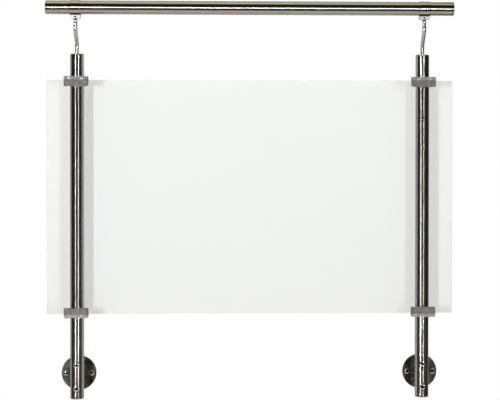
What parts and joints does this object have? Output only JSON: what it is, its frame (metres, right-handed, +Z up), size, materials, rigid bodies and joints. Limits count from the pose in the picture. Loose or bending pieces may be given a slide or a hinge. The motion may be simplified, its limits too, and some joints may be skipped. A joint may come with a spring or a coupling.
{
  "type": "acrylic railing panel",
  "caption": "Wall-fixed railing panel: round steel posts on wall flanges hold a clear acrylic sheet in screwed clamps, with a round handrail on cranked supports above.",
  "frame": {"origin": "centre of the left wall flange's back face, on the wall plane", "axes": "+X along the handrail towards the right post, +Y into the wall, +Z up; people stand on the -Y side"},
  "size_m": [1.254, 0.1776, 1.2306],
  "materials": {
    "clear_acrylic": "clear cast acrylic, polished faces",
    "tube_steel": "fine ground stainless tube, bright streaks along it",
    "polished_steel": "polished and satin stainless castings and rod",
    "flange_steel": "turned stainless, satin",
    "cast_zinc": "matte grey zinc die casting",
    "bolt_steel": "bright stainless screws",
    "blackened_steel": "black oxide socket screws",
    "black_plastic": "hard black plastic",
    "pad_rubber": "soft black rubber"
  },
  "bodies": {
    "root": {"acrylic_sheet": "clear_acrylic", "handrail_tube": "tube_steel", "handrail_end_cap_left": "tube_steel", "handrail_end_cap_right": "tube_steel", "post_tube_left": "tube_steel", "post_bottom_cap_left": "tube_steel", "post_top_cap_left": "tube_steel", "wall_flange_left": "flange_steel", "upper_standoff_left": "flange_steel", "lower_standoff_left": "flange_steel", "wall_bolts_left": "bolt_steel", "post_bolts_left": "bolt_steel", "rail_bracket_left": "polished_steel", "bracket_lock_screw_left": "blackened_steel", "swivel_bush_left": "black_plastic", "knuckle_head_left": "polished_steel", "knuckle_pin_left": "blackened_steel", "support_rod_left": "polished_steel", "post_tube_right": "tube_steel", "post_bottom_cap_right": "tube_steel", "post_top_cap_right": "tube_steel", "wall_flange_right": "flange_steel", "upper_standoff_right": "flange_steel", "lower_standoff_right": "flange_steel", "wall_bolts_right": "bolt_steel", "post_bolts_right": "bolt_steel", "rail_bracket_right": "polished_steel", "bracket_lock_screw_right": "blackened_steel", "swivel_bush_right": "black_plastic", "knuckle_head_right": "polished_steel", "knuckle_pin_right": "blackened_steel", "support_rod_right": "polished_steel", "saddle_block_top_left": "cast_zinc", "saddle_screw_top_left": "bolt_steel", "back_pad_top_left": "pad_rubber", "front_pad_top_left": "pad_rubber", "clamp_plate_top_left": "cast_zinc", "clamp_screws_top_left": "bolt_steel", "saddle_block_bottom_left": "cast_zinc", "saddle_screw_bottom_left": "bolt_steel", "back_pad_bottom_left": "pad_rubber", "front_pad_bottom_left": "pad_rubber", "clamp_plate_bottom_left": "cast_zinc", "clamp_screws_bottom_left": "bolt_steel", "saddle_block_top_right": "cast_zinc", "saddle_screw_top_right": "bolt_steel", "back_pad_top_right": "pad_rubber", "front_pad_top_right": "pad_rubber", "clamp_plate_top_right": "cast_zinc", "clamp_screws_top_right": "bolt_steel", "saddle_block_bottom_right": "cast_zinc", "saddle_screw_bottom_right": "bolt_steel", "back_pad_bottom_right": "pad_rubber", "front_pad_bottom_right": "pad_rubber", "clamp_plate_bottom_right": "cast_zinc", "clamp_screws_bottom_right": "bolt_steel"}
  },
  "joints": []
}
